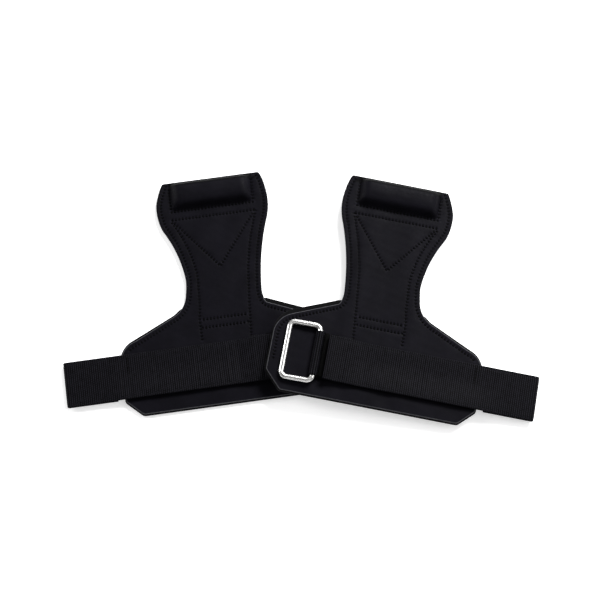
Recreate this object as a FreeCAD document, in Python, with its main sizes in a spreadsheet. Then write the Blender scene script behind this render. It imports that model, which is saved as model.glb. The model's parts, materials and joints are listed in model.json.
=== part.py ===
import FreeCAD, Part
import Sketcher
import os
import re
from FreeCAD import Placement, Rotation, Vector

# A pair of palm grips. Each grip is drawn in its own frame: x runs from the ring end (negative)
# to the strap's free end, y from the wrist strap to the end of the palm flap, z up from the floor.
# The left grip is the mirror image of the right one, and the right one lies on the left one.

SIZES = {
    # layers, from the floor up
    "pad_thick": 3.2, "leather_thick": 1.2, "lining_thick": 0.8, "patch_thick": 0.6,
    # where the flap meets the wrist part
    "crease_y": 54.0, "crease_outer_x": 37.0,
    # leather outline: flap
    "flap_end_y": 165.5, "flap_end_inner": -43.3, "flap_end_outer": 39.9,
    "cheek_outer_x": 46.9, "cheek_outer_y": 147.0, "cheek_bow": 0.6,
    "flank_outer_x": 44.0, "flank_outer_y": 124.0, "flank_outer_bow": 1.4,
    "waist_outer_x": 29.7, "waist_outer_y": 78.0, "waist_outer_bow": 2.6,
    "neck_outer_x": 31.2, "neck_outer_y": 65.0, "neck_bow": 0.3, "fillet_outer_bow": 2.6,
    "cheek_inner_x": -47.0, "cheek_inner_y": 152.0,
    "flank_inner_x": -43.8, "flank_inner_y": 121.0, "flank_inner_bow": 2.3,
    "neck_inner_x": -32.5, "neck_inner_y": 64.0, "waist_inner_bow": 1.9, "fillet_inner_bow": 1.0,
    "root_inner_x": -34.6, "root_inner_y": 49.9,
    # leather outline: wings
    "wing_outer_x": 43.0, "wing_outer_y": 47.6, "shoulder_outer_x": 77.5, "shoulder_outer_y": 31.0,
    "shoulder_bow": 2.4, "wing_end_outer": 90.4, "wing_end_y": 19.0, "wing_low_y": -18.8,
    "bottom_y": -31.4, "bottom_outer_x": 77.2, "bottom_inner_x": -70.2,
    "wing_end_inner": -84.0, "wing_low_inner_y": -16.6, "wing_end_inner_y": 17.5,
    "shoulder_inner_x": -73.0, "shoulder_inner_y": 33.3,
    # the cushion shows as a rim beyond the leather
    "rim": 1.0, "rim_wing_outer": 1.7, "rim_wing_inner": 4.0,
    # roll at the end of the flap
    "roll_low_y": 140.8, "roll_high_y": 161.2, "roll_length": 68.0, "roll_height": 9.2,
    "roll_edge": 4.0, "roll_lean": 0.6, "roll_side": 4.6, "roll_side_bow": 0.5, "roll_corner_bow": 1.1,
    "roll_middle_x": -0.6, "dowel_radius": 3.0, "dowel_y": 151.0,
    # reinforcement below the roll
    "patch_half": 38.0, "patch_top_y": 139.0, "patch_root_y": 130.0, "patch_tip_y": 83.0,
    # webbing strap
    "strap_width": 38.0, "strap_thick": 1.4, "strap_y": 1.6, "strap_start": -37.5,
    "strap_flat": -6.0, "strap_reach": 139.0, "fold_radius": 2.3,
    "tail_start": 97.0, "tail_gap": 0.3, "tail_bow": 0.17,
    "hook_thick": 1.2, "hook_start": 99.0, "hook_length": 33.0, "hook_width": 34.0,
    # ring and its webbing loop
    "loop_thick": 1.2, "loop_end": -18.0, "leg_join": -24.0, "bar_x": -46.0, "bar_gap": 0.25,
    "wire_radius": 2.1, "ring_y": 3.0, "ring_half": 23.65, "ring_reach": 25.6, "ring_corner": 4.2,
    "ring_droop": 2.95,
    # sewing threads
    "thread_wide": 0.7, "thread_high": 0.3, "edge_inset": 3.4, "seam_end_y": -5.0,
    "seam_strap_y": 21.6, "seam_top_y": 161.0, "seam_gap": 1.0,
    "roll_row_high": 138.8, "roll_row_low": 131.5, "roll_row_half": 36.5,
    "v_half": 34.6, "v_top_y": 130.4, "v_tip_y": 85.8,
    "side_waist_outer": 19.4, "side_waist_inner": -23.6, "side_waist_y": 80.0,
    "side_crease_outer": 20.6, "side_crease_inner": -21.0,
    "side_bow_outer": 3.0, "side_bow_inner": 1.4,
    "side_low_outer": 22.4, "side_low_inner": -18.6, "side_low_y": 46.0, "side_end_y": 25.0,
    "wrist_row_high": 41.3, "wrist_row_low": 34.2, "wrist_row_half": 18.0,
    "strap_seam_outer": 86.0, "strap_seam_inner": -35.8, "strap_seam_half": 17.0,
    # construction: half of a field wider than the grip, and how far it passes the outline
    "field_half": 150.0, "bottom_margin": 6.0,
    # where the two grips lie
    "left_x": -56.86, "left_y": -59.2, "left_turn": 8.0,
    "right_x": 56.0, "right_y": -64.8, "right_turn": -10.5, "right_tilt": 3.87,
}

doc = FreeCAD.newDocument("hand_grips")
sheet = doc.addObject("Spreadsheet::Sheet", "sizes")
for row, (alias, value) in enumerate(SIZES.items(), start=1):
    sheet.set(f"A{row}", alias)
    sheet.set(f"B{row}", str(value))
    sheet.setAlias(f"B{row}", alias)
doc.recompute()

subparts = []


def bound(expression):
    """An expression in the sheet's names, as FreeCAD reads it from any object."""
    return re.sub(r"[a-z]\w*", lambda word: f"sizes.{word[0]}" if word[0] in SIZES else word[0],
                  str(expression))


def number(expression):
    return float(sheet.evalExpression(bound(expression)))

# heights and slopes worked out from the sheet
TOP = "pad_thick + leather_thick"
BAR_Z = f"{TOP} + loop_thick + bar_gap + wire_radius"
LOOP_BORE = "(wire_radius + bar_gap)"
LOOP_RADIUS = "(wire_radius + bar_gap + loop_thick)"
LEG_TOP = f"{TOP} + 2 * loop_thick"
LEG_SLOPE = f"(2 * {LOOP_BORE} / (leg_join - bar_x))"
ROLL_INSIDE = "roll_length - 2 * leather_thick"
DOWEL_Z = "pad_thick + roll_height / 2"
FOLD_Z = f"({TOP} + strap_thick - fold_radius)"
FOLD_X = "(strap_reach - fold_radius)"


def quarter(radius):
    """Bow of a quarter circle."""
    return f"({radius}) * (1 - sqrt(0.5))"


def field(x1, y1, x2, y2):
    return [(x1, y1), (x2, y1), (x2, y2), (x1, y2)]


def ribbon(line, dx, dy):
    """A line of corners and, on the way back, the same line moved sideways."""
    back = []
    for index in range(len(line) - 1, -1, -1):
        corner = (f"{line[index][0]} + {dx}", f"{line[index][1]} + {dy}")
        bow = line[index - 1][2:] if index else ()
        back.append(corner + tuple(f"-({value})" for value in bow))
    return list(line) + back


def row(x1, level, x2):
    return ribbon([(x1, level), (x2, level)], "0", "thread_wide")


def roll_profile(skin):
    """Section of the roll across the flap, less a skin of leather."""
    low, high = f"roll_low_y + {skin}", f"roll_high_y - {skin}"
    top = f"{TOP} + roll_height - {skin}"
    side = f"{top} - roll_edge"
    return [(low, "pad_thick"), (high, "pad_thick", "-roll_side_bow"),
            (f"{high} - roll_lean", side, "-roll_corner_bow"),
            (f"{high} - roll_side", top),
            (f"{low} + roll_side", top, "-roll_corner_bow"),
            (f"{low} + roll_lean", side, "-roll_side_bow")]


SEAM_ABOVE = "(crease_y + seam_gap)"
SEAM_BELOW = "(crease_y - seam_gap)"
WRIST_SEAM_ZONE = [
    ("-field_half", "seam_end_y"), ("0", "seam_end_y"), ("0", "seam_strap_y"),
    ("field_half", "seam_strap_y"), ("field_half", SEAM_BELOW), ("-field_half", SEAM_BELOW),
]
FLAP_FIELD = field("-field_half", "crease_y", "field_half", "flap_end_y + bottom_margin")
WRIST_FIELD = field("-field_half", "bottom_y - bottom_margin", "field_half", "crease_y")
LEATHER = [
    ("flap_end_inner", "flap_end_y"), ("flap_end_outer", "flap_end_y", "cheek_bow"),
    ("cheek_outer_x", "cheek_outer_y", "flank_outer_bow"),
    ("flank_outer_x", "flank_outer_y", "-waist_outer_bow"),
    ("waist_outer_x", "waist_outer_y", "-neck_bow"),
    ("neck_outer_x", "neck_outer_y", "-fillet_outer_bow"),
    ("wing_outer_x", "wing_outer_y"), ("shoulder_outer_x", "shoulder_outer_y", "shoulder_bow"),
    ("wing_end_outer", "wing_end_y"), ("wing_end_outer", "wing_low_y"),
    ("bottom_outer_x", "bottom_y"), ("bottom_inner_x", "bottom_y"),
    ("wing_end_inner", "wing_low_inner_y"), ("wing_end_inner", "wing_end_inner_y", "shoulder_bow"),
    ("shoulder_inner_x", "shoulder_inner_y"),
    ("root_inner_x", "root_inner_y", "-fillet_inner_bow"),
    ("neck_inner_x", "neck_inner_y", "-waist_inner_bow"),
    ("flank_inner_x", "flank_inner_y", "flank_inner_bow"),
    ("cheek_inner_x", "cheek_inner_y", "cheek_bow"),
]
CUSHION = [
    ("root_inner_x", "crease_y"), ("crease_outer_x", "crease_y"),
    ("wing_outer_x", "wing_outer_y + rim_wing_outer"),
    ("shoulder_outer_x + rim", "shoulder_outer_y + rim_wing_outer", "shoulder_bow"),
    ("wing_end_outer + rim", "wing_end_y"), ("wing_end_outer + rim", "wing_low_y - rim / 2"),
    ("bottom_outer_x + rim / 2", "bottom_y - rim"), ("bottom_inner_x - rim / 2", "bottom_y - rim"),
    ("wing_end_inner - rim", "wing_low_inner_y - rim / 2"),
    ("wing_end_inner - rim", "wing_end_inner_y + rim", "shoulder_bow"),
    ("shoulder_inner_x - rim", "shoulder_inner_y + rim_wing_inner"),
]
PATCH = [
    ("-patch_half", "patch_top_y"), ("patch_half", "patch_top_y"), ("patch_half", "patch_root_y"),
    ("roll_middle_x", "patch_tip_y"), ("-patch_half", "patch_root_y"),
]
STRAP = [
    ("strap_start", f"{LEG_TOP} + {LEG_SLOPE} * (leg_join - strap_start)"),
    ("leg_join", LEG_TOP), ("loop_end", LEG_TOP), ("strap_flat", TOP),
    (FOLD_X, TOP, quarter("fold_radius - strap_thick")),
    ("strap_reach - strap_thick", FOLD_Z, quarter("fold_radius - strap_thick")),
    (FOLD_X, f"{TOP} + 2 * strap_thick - 2 * fold_radius"),
    (FOLD_X, f"{TOP} + strap_thick - 2 * fold_radius", quarter("-fold_radius")),
    ("strap_reach", FOLD_Z, quarter("-fold_radius")),
    (FOLD_X, f"{TOP} + strap_thick"),
    ("strap_flat", f"{TOP} + strap_thick"), ("loop_end", f"{LEG_TOP} + strap_thick"),
    ("leg_join", f"{LEG_TOP} + strap_thick"),
    ("strap_start", f"{LEG_TOP} + {LEG_SLOPE} * (leg_join - strap_start) + strap_thick"),
]
TAIL_HIGH = f"({TOP} + 2 * strap_thick - 2 * fold_radius)"
TAIL_LOW = f"({TOP} + strap_thick - 2 * fold_radius)"
TAIL_CLEAR = "(fold_radius + tail_gap)"
TAIL = [
    ("tail_start", TAIL_LOW),
    (f"{FOLD_X} - sqrt({TAIL_CLEAR}^2 - fold_radius^2)", TAIL_LOW, "tail_bow"),
    (f"{FOLD_X} - sqrt({TAIL_CLEAR}^2 - (fold_radius - strap_thick)^2)", TAIL_HIGH),
    ("tail_start", TAIL_HIGH),
]
LOOP = [
    [("loop_end", TOP), ("bar_x", TOP, quarter(LOOP_RADIUS)),
     (f"bar_x - {LOOP_RADIUS}", BAR_Z, quarter(LOOP_RADIUS)),
     ("bar_x", f"{BAR_Z} + {LOOP_RADIUS}"), ("leg_join", LEG_TOP), ("loop_end", LEG_TOP)],
    [("leg_join", f"{TOP} + loop_thick"), ("bar_x", f"{TOP} + loop_thick", quarter(LOOP_BORE)),
     (f"bar_x - {LOOP_BORE}", BAR_Z, quarter(LOOP_BORE)),
     ("bar_x", f"{BAR_Z} + {LOOP_BORE}")],
]
CORNER_BOW = quarter("ring_corner")
RING = [
    ("0", "0"), ("0", "ring_corner - ring_half", CORNER_BOW),
    ("-ring_corner", "-ring_half"), ("ring_corner - ring_reach", "-ring_half", CORNER_BOW),
    ("-ring_reach", "ring_corner - ring_half"), ("-ring_reach", "ring_half - ring_corner", CORNER_BOW),
    ("ring_corner - ring_reach", "ring_half"), ("-ring_corner", "ring_half", CORNER_BOW),
    ("0", "ring_half - ring_corner"),
]
SIDE_OUTER = [
    ("roll_row_half", "roll_row_low", "-side_bow_outer"), ("side_waist_outer", "side_waist_y"),
    ("side_crease_outer", SEAM_ABOVE),
]
SIDE_INNER = [
    ("-roll_row_half", "roll_row_low", "side_bow_inner"), ("side_waist_inner", "side_waist_y"),
    ("side_crease_inner", SEAM_ABOVE),
]
WRIST_OUTER = [("side_crease_outer", SEAM_BELOW), ("side_low_outer", "side_low_y"),
               ("side_low_outer", "side_end_y")]
WRIST_INNER = [("side_crease_inner", SEAM_BELOW), ("side_low_inner", "side_end_y")]
V_LINE = [("-v_half", "v_top_y"), ("roll_middle_x", "v_tip_y"), ("v_half", "v_top_y")]


def above(height):
    return Placement(Vector(0, 0, number(height)), Rotation())


class Grip:
    """Builds the sub-parts of one grip; side is 1 for the right grip and -1 for its mirror image."""

    def __init__(self, label, side, placement):
        self.label = label
        self.side = side
        self.placement = placement

    def across(self, expression):
        return f"{self.side} * ({expression})"

    def name(self, node):
        return f"{self.label}_{node}"

    def keep(self, item, node, placement=None):
        """Makes an object a sub-part of its own, placed where the grip lies."""
        item.Label = self.name(node)
        item.Placement = placement or self.placement
        subparts.append(item)
        return item

    def body(self, node, placement=None):
        return self.keep(doc.addObject("PartDesign::Body", self.name(node)), node, placement)

    def sketch(self, owner, name, outlines, plane="XY_Plane", lift="0"):
        """Closed outlines through (x, y) corners; a third entry bows the stretch that follows a
        corner into an arc, by that much to the left of the way the outline runs."""
        if owner is None:
            sketch = doc.addObject("Sketcher::SketchObject", self.name(name))
            sketch.Visibility = False
        else:
            sketch = owner.newObject("Sketcher::SketchObject", self.name(name))
            base = [item for item in owner.Origin.OriginFeatures if item.Role == plane][0]
            sketch.AttachmentSupport = [(base, "")]
            sketch.MapMode = "FlatFace"
            sketch.setExpression("AttachmentOffset.Base.z", bound(lift))
        for corners in outlines:
            self.draw(sketch, corners, mirrored=plane != "YZ_Plane")
        return sketch

    def draw(self, sketch, corners, mirrored):
        side = self.side if mirrored else 1
        points = [(f"{side} * ({corner[0]})", str(corner[1])) for corner in corners]
        bows = [f"{side} * ({corner[2]})" if len(corner) > 2 else None for corner in corners]
        first = sketch.GeometryCount
        ends = []
        for index, bow in enumerate(bows):
            after = (index + 1) % len(points)
            start = Vector(number(points[index][0]), number(points[index][1]), 0)
            stop = Vector(number(points[after][0]), number(points[after][1]), 0)
            if bow is None:
                sketch.addGeometry(Part.LineSegment(start, stop))
                ends.append((1, 2))
                continue
            run = stop - start
            left = Vector(-run.y, run.x, 0).normalize()
            middle = (start + stop) * 0.5 + left * number(bow)
            if number(bow) > 0:
                sketch.addGeometry(Part.ArcOfCircle(stop, middle, start))
                ends.append((2, 1))
            else:
                sketch.addGeometry(Part.ArcOfCircle(start, middle, stop))
                ends.append((1, 2))
        for index, bow in enumerate(bows):
            after = (index + 1) % len(points)
            here, start = first + index, ends[index][0]
            sketch.addConstraint(Sketcher.Constraint("Coincident", here, ends[index][1],
                                                     first + after, ends[after][0]))
            for kind, value in zip(("DistanceX", "DistanceY"), points[index]):
                place = sketch.addConstraint(
                    Sketcher.Constraint(kind, -1, 1, here, start, number(value)))
                sketch.setExpression(f"Constraints[{place}]", bound(value))
            if bow is not None:
                (x1, y1), (x2, y2) = points[index], points[after]
                chord = f"((({x2}) - ({x1}))^2 + (({y2}) - ({y1}))^2)"
                radius = f"({chord} / 4 + ({bow})^2) / (2 * abs({bow}))"
                place = sketch.addConstraint(Sketcher.Constraint("Radius", here, number(radius)))
                sketch.setExpression(f"Constraints[{place}]", bound(radius))


    def pad(self, body, name, corners, lift, thickness):
        """A flat layer: outlines padded upwards from a height above the floor."""
        layer = body.newObject("PartDesign::Pad", self.name(f"{name}_layer"))
        layer.Profile = self.sketch(body, f"{name}_outline", corners, lift=lift)
        layer.setExpression("Length", bound(thickness))
        return layer

    def cut_down(self, body, name, corners, lift, depth):
        cut = body.newObject("PartDesign::Pocket", self.name(f"{name}_cut"))
        cut.Profile = self.sketch(body, f"{name}_cut_outline", corners, lift=lift)
        cut.setExpression("Length", bound(depth))
        return cut

    def slab(self, body, name, corners, plane, lift, width, kind="PartDesign::Pad"):
        """A side profile run the same distance to both sides of its plane."""
        feature = body.newObject(kind, self.name(f"{name}_run"))
        feature.Profile = self.sketch(body, f"{name}_profile", corners, plane, lift)
        feature.SideType = "Symmetric"
        feature.setExpression("Length", bound(width))
        return feature

    def circle(self, body, name, plane, centre, radius, lift="0"):
        sketch = self.sketch(body, name, [], plane, lift)
        spot = Vector(number(centre[0]), number(centre[1]), 0)
        sketch.addGeometry(Part.Circle(spot, Vector(0, 0, 1), number(radius)))
        for kind, value in zip(("DistanceX", "DistanceY"), centre):
            place = sketch.addConstraint(Sketcher.Constraint(kind, -1, 1, 0, 3, number(value)))
            sketch.setExpression(f"Constraints[{place}]", bound(value))
        place = sketch.addConstraint(Sketcher.Constraint("Radius", 0, number(radius)))
        sketch.setExpression(f"Constraints[{place}]", bound(radius))
        return sketch

    def raised(self, base, name):
        """A flat outline made as high as a thread."""
        solid = doc.addObject("Part::Extrusion", self.name(name))
        solid.Base = base
        solid.DirMode = "Custom"
        solid.Dir = Vector(0, 0, 1)
        solid.Solid = True
        solid.setExpression("LengthFwd", bound("thread_high"))
        return solid

    def threads(self, node, ribbons, height=TOP):
        """Rows of sewing thread, as thin ribbons that stand on a surface."""
        rows = self.raised(self.sketch(None, f"{node}_rows", ribbons), node)
        return self.keep(rows, node, self.placement * above(height))

    def edge_threads(self, node, zone_outline):
        """The seam that runs inside the leather's edge, as far as it lies in a zone of the grip."""
        outline = self.sketch(None, f"{node}_leather", [LEATHER])
        rings = []
        for index, inset in enumerate(("edge_inset", "edge_inset + thread_wide")):
            ring = doc.addObject("Part::Offset2D", self.name(f"{node}_inset_{index}"))
            ring.Source = outline
            ring.setExpression("Value", bound(f"-({inset})"))
            rings.append(ring)
        outer, inner = [self.raised(ring, f"{node}_shell_{index}")
                        for index, ring in enumerate(rings)]
        zone = self.raised(self.sketch(None, f"{node}_zone", [zone_outline]), f"{node}_part")
        band = doc.addObject("Part::Cut", self.name(f"{node}_band"))
        band.Base, band.Tool = outer, inner
        seam = doc.addObject("Part::Common", self.name(node))
        seam.Base, seam.Tool = band, zone
        return self.keep(seam, node, self.placement * above(TOP))

    def wrist_pad(self):
        self.pad(self.body("wrist_pad"), "wrist_pad", [CUSHION], "0", "pad_thick")

    def leather_layer(self, node, lift, thickness, spare):
        """A layer with the leather's outline, less the part beyond the crease."""
        body = self.body(node)
        self.pad(body, node, [LEATHER], lift, thickness)
        self.cut_down(body, node, [spare], f"{lift} + {thickness}", thickness)
        return body

    def palm_panel(self):
        body = self.leather_layer("palm_panel", "pad_thick", "leather_thick", WRIST_FIELD)
        middle = self.across("roll_middle_x")
        self.slab(body, "roll", [roll_profile("0")], "YZ_Plane", middle, "roll_length")
        self.slab(body, "roll_hollow", [roll_profile("leather_thick")], "YZ_Plane", middle,
                  ROLL_INSIDE, "PartDesign::Pocket")

    def flap_foam(self):
        body = self.leather_layer("flap_foam", "lining_thick", "pad_thick - lining_thick", WRIST_FIELD)
        self.cut_down(body, "patch_seat", [PATCH], "pad_thick", "patch_thick")

    def v_patch(self):
        self.pad(self.body("v_patch"), "v_patch", [PATCH], "pad_thick - patch_thick", "patch_thick")

    def roll(self):
        body = self.body("roll_foam")
        middle = self.across("roll_middle_x")
        self.slab(body, "roll_foam", [roll_profile("leather_thick")], "YZ_Plane", middle, ROLL_INSIDE)
        bore = body.newObject("PartDesign::Pocket", self.name("roll_bore"))
        bore.Profile = self.circle(body, "roll_bore_outline", "YZ_Plane", ("dowel_y", DOWEL_Z),
                                   "dowel_radius", middle)
        bore.SideType = "Symmetric"
        bore.setExpression("Length", bound("roll_length"))
        dowel = doc.addObject("Part::Cylinder", self.name("roll_dowel"))
        dowel.setExpression("Radius", bound("dowel_radius"))
        dowel.setExpression("Height", bound(ROLL_INSIDE))
        start = number(f"{middle} - ({ROLL_INSIDE}) / 2")
        lying = Placement(Vector(start, number("dowel_y"), number(DOWEL_Z)),
                          Rotation(Vector(0, 1, 0), 90))
        self.keep(dowel, "roll_dowel", self.placement * lying)

    def webbing(self):
        for node, profile in (("strap", STRAP), ("strap_tail", TAIL)):
            self.slab(self.body(node), node, [profile], "XZ_Plane", "-strap_y", "strap_width")
        self.slab(self.body("ring_loop"), "ring_loop", LOOP, "XZ_Plane", "-ring_y", "strap_width")
        hook = self.body("hook_patch")
        low, high = "strap_y - hook_width / 2", "strap_y + hook_width / 2"
        self.pad(hook, "hook_patch", [field("hook_start", low, "hook_start + hook_length", high)],
                 "0", "hook_thick")

    def ring(self):
        hinge = Placement(Vector(number(self.across("bar_x")), number("ring_y"), number(BAR_Z)),
                          Rotation(Vector(0, 1, 0), -self.side * number("ring_droop")))
        body = self.body("ring", self.placement * hinge)
        pipe = body.newObject("PartDesign::AdditivePipe", self.name("ring_wire"))
        pipe.Profile = self.circle(body, "ring_section", "XZ_Plane", ("0", "0"), "wire_radius")
        pipe.Spine = (self.sketch(body, "ring_path", [RING]), [])

    def seams(self):
        self.edge_threads("wrist_edge_seam", WRIST_SEAM_ZONE)
        self.edge_threads("flap_edge_seam", field("-field_half", SEAM_ABOVE, "field_half", "seam_top_y"))
        wide = "thread_wide"
        self.threads("flap_side_seams", [ribbon(SIDE_OUTER, wide, "0"), ribbon(SIDE_INNER, wide, "0")])
        rows = [row(f"-{half}", level, half) for level, half in
                (("roll_row_high", "roll_row_half"), ("roll_row_low", "roll_row_half"))]
        self.threads("roll_seams", rows)
        self.threads("v_seam", [ribbon(V_LINE, "0", wide)])
        self.threads("wrist_seams", [
            row("-wrist_row_half", "wrist_row_high", "wrist_row_half"),
            row("-wrist_row_half", "wrist_row_low", "wrist_row_half"),
            ribbon(WRIST_OUTER, wide, "0"), ribbon(WRIST_INNER, wide, "0")])
        low, high = "strap_y - strap_seam_half", "strap_y + strap_seam_half"
        self.threads("strap_end_seam",
                     [ribbon([("strap_seam_outer", low), ("strap_seam_outer", high)], wide, "0")],
                     f"{TOP} + strap_thick")
        self.threads("strap_ring_seam",
                     [ribbon([("strap_seam_inner", low), ("strap_seam_inner", high)], wide, "0")],
                     f"{LEG_TOP} + {LEG_SLOPE} * (leg_join - strap_seam_inner) + strap_thick")

    def build(self):
        self.wrist_pad()
        self.leather_layer("wrist_panel", "pad_thick", "leather_thick", FLAP_FIELD)
        self.palm_panel()
        self.flap_foam()
        self.leather_layer("flap_lining", "0", "lining_thick", WRIST_FIELD)
        self.v_patch()
        self.roll()
        self.webbing()
        self.ring()
        self.seams()


def tilted(turn, tilt, spot):
    """Turned about Z, and leaning on a corner of its hook patch and a corner of its flap."""
    heel = Vector(number("hook_start + hook_length"), number("strap_y + hook_width / 2"), 0)
    toe = Vector(number("flap_end_outer"), number("flap_end_y"), 0)
    lean = Placement(Vector(), Rotation(toe - heel, tilt), heel)
    return Placement(spot, Rotation(Vector(0, 0, 1), turn)) * lean


left_spot = Vector(number("left_x"), number("left_y"), 0)
right_spot = Vector(number("right_x"), number("right_y"), 0)
Grip("left", -1, Placement(left_spot, Rotation(Vector(0, 0, 1), number("left_turn")))).build()
Grip("right", 1, tilted(number("right_turn"), number("right_tilt"), right_spot)).build()
doc.recompute()

for item in doc.Objects:
    if "Invalid" in item.State or "Error" in item.State:
        raise RuntimeError(f"{item.Label} did not compute: {item.State}")
for item in subparts:
    if item.Shape.isNull() or not item.Shape.isValid() or not item.Shape.Solids:
        raise RuntimeError(f"{item.Label} has no valid solid")

os.makedirs("parts", exist_ok=True)
whole = FreeCAD.BoundBox()
for item in subparts:
    item.Shape.exportStep(f"parts/{item.Label}.step")
    whole.add(item.Shape.BoundBox)
print(f"{len(subparts)} sub-parts, x {whole.XMin:.3f} to {whole.XMax:.3f}, "
      f"y {whole.YMin:.3f} to {whole.YMax:.3f}, z {whole.ZMin:.3f} to {whole.ZMax:.3f}")
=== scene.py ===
import json
import math
import random

import bpy
import numpy as np
from mathutils import Matrix, Vector
from mathutils.geometry import delaunay_2d_cdt


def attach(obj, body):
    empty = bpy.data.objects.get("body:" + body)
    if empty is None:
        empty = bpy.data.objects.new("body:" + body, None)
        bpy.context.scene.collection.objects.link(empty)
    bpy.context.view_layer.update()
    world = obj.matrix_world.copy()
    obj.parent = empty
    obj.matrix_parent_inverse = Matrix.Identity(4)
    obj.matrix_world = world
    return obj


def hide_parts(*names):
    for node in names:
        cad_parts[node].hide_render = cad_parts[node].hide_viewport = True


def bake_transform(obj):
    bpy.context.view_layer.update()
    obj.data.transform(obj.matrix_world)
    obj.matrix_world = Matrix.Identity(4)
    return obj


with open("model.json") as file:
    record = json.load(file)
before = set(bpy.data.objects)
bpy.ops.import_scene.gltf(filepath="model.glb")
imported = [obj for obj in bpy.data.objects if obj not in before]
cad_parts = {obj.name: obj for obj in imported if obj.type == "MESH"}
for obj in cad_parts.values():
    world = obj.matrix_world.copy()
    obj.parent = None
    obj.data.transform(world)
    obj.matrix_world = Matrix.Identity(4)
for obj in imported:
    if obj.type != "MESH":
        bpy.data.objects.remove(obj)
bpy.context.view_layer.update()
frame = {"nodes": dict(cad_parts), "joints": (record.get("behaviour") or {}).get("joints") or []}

# Each grip is built in its own frame, in millimetres: x from the ring end (negative) to the strap's
# free end, y from the wrist strap to the end of the palm flap, z up from the surface it lies on.
MM = 0.001

# the layers, the crease between wrist and flap, and how far along the flap bends there
PAD, LEATHER, LINING = 3.2, 1.2, 0.8
TOP = PAD + LEATHER
CREASE_Y = 54.0
BEND_LEAD, BEND_LENGTH = 2.0, 14.0
EDGE_ROUND = 0.7

# the roll at the flap's end, the painted shade along its back edge, and its rod
ROLL_LOW, ROLL_CREST, ROLL_BACK, ROLL_HIGH = 140.6, 147.6, 152.0, 163.2
ROLL_HALF, ROLL_MIDDLE, ROLL_END = 34.6, -0.6, 8.5
ROLL_SHADE, SHADE_START, SHADE_END = 0.9, ROLL_HIGH - 4.0, ROLL_HIGH - 1.0
ROD_START, ROD_END, ROD_RADIUS, ROD_RISE = -28.5, 27.3, 3.0, 4.4

# the ring and its webbing loop
LOOP_Y, LOOP_THICK = 3.0, 1.2
BAR_X, WIRE, BAR_GAP = -46.0, 2.1, 0.25
BAR_Z = TOP + LOOP_THICK + BAR_GAP + WIRE
RING_HALF, RING_REACH, RING_CORNER, RING_DROOP = 23.65, 25.6, 4.6, math.radians(2.95)
RING_SPARE, WELD_SWELL, WELD_HALF = 0.12, 0.12, 0.9
LEG_JOIN, LOOP_END = -24.0, -18.0
LEG_TOP = TOP + 2 * LOOP_THICK
LEG_SLOPE = 2 * (WIRE + BAR_GAP) / (LEG_JOIN - BAR_X)

# the strap, from its ring end to the fold at its free end and back to the tail's end
STRAP_Y, STRAP_WIDTH, STRAP_THICK, RIB, YARN = 1.6, 38.0, 1.4, 1.72, 1.9
STRAP_START, STRAP_FLAT, STRAP_REACH, TAIL_START = -37.5, -6.0, 139.0, 97.0
STRAP_ACROSS, STRAP_STEP, STRAP_ROUNDING = 81, 0.38, 40
LOOP_ACROSS, LOOP_STEP, LOOP_ROUNDING = 61, 0.35, 3
FOLD_RADIUS, FOLD_LINE = 2.3, 1.6
FOLD_X = STRAP_REACH - FOLD_RADIUS
FOLD_Z = TOP + STRAP_THICK - FOLD_RADIUS
UNFOLD_HIGH, UNFOLD_LOW = TOP - 0.3, FOLD_Z - 0.9
SELVAGE_INNER, SELVAGE_OUTER, SELVAGE_CORD, SELVAGE_ROUND = 15.6, 16.8, 1.15, 0.7
STRAP_CURL, CURL_LENGTH = 0.9, 5.0
STRAP_SLACK, SLACK_FROM, SLACK_TO = 2.1, (-36.0, 10.0), (82.0, 112.0)
SLACK_ACROSS = (6.0, -20.0)

# the hook tape under the tail
HOOK_START, HOOK_LENGTH, HOOK_WIDTH, HOOK_THICK = 99.0, 33.0, 34.0, 1.2
HOOK_PITCH, HOOK_MARGIN, HOOK_STOP, HOOK_ROOT = 1.45, 1.6, 1.2, 0.66
HOOK_TAPER = (0.16, 0.12, 0.11, 0.1, 0.06)
HOOK_END = HOOK_START + HOOK_LENGTH

# sewing: a stitch's height and thickness along its length, how it draws the leather down, how far the
# painted shade under it and the painted highlight between stitches reach, and where the lines of
# sewing end
STITCH_PITCH, STITCH_LENGTH, THREAD = 2.9, 2.0, 0.45
STRAP_PITCH, STRAP_LENGTH, STRAP_THREAD = 2.6, 1.8, 0.42
STITCH_ARCH = [(0.0, -0.42), (0.12, -0.08), (0.3, 0.1), (0.5, 0.15), (0.7, 0.1), (0.88, -0.08),
               (1.0, -0.42)]
STITCH_SWELL = [0.55, 0.95, 1.05, 1.0, 1.05, 0.95, 0.55]
STITCH_SINK = 0.12
DIP, DIP_REACH = 0.05, 1.9
STITCH_DIP, STITCH_SWELLING, STITCH_REACH, SHADE_REACH = 0.72, 0.12, 0.8, 1.0
SEAM_STEP = 0.72
EDGE_INSET = 3.75
EDGE_SEAM_HIGH, EDGE_SEAM_OUTER_LOW, EDGE_SEAM_INNER_LOW = 160.5, 22.5, -6.0
EDGE_SEAM_OUTER_END, EDGE_SEAM_INNER_END = (36.4, 164.6), (-39.6, 164.6)
STRAP_END_SEAM_X, STRAP_RING_SEAM_X, STRAP_SEAM_MARGIN = 86.0, -35.6, 1.6

# how sheets are divided: rows beside a seam, least gaps between points, the side wall's bulge, and
# how near the edge the top takes the cut edge's look with its painted highlight
SEAM_ROWS = (0.0, -0.42, 0.42, -0.95, 0.95, -1.7, 1.7)
RIM_GAP, ROW_GAP = 0.12, 0.3
WALL_BULGE, PAINTED_HIGHLIGHT_VERGE = 0.12, 0.55

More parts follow.
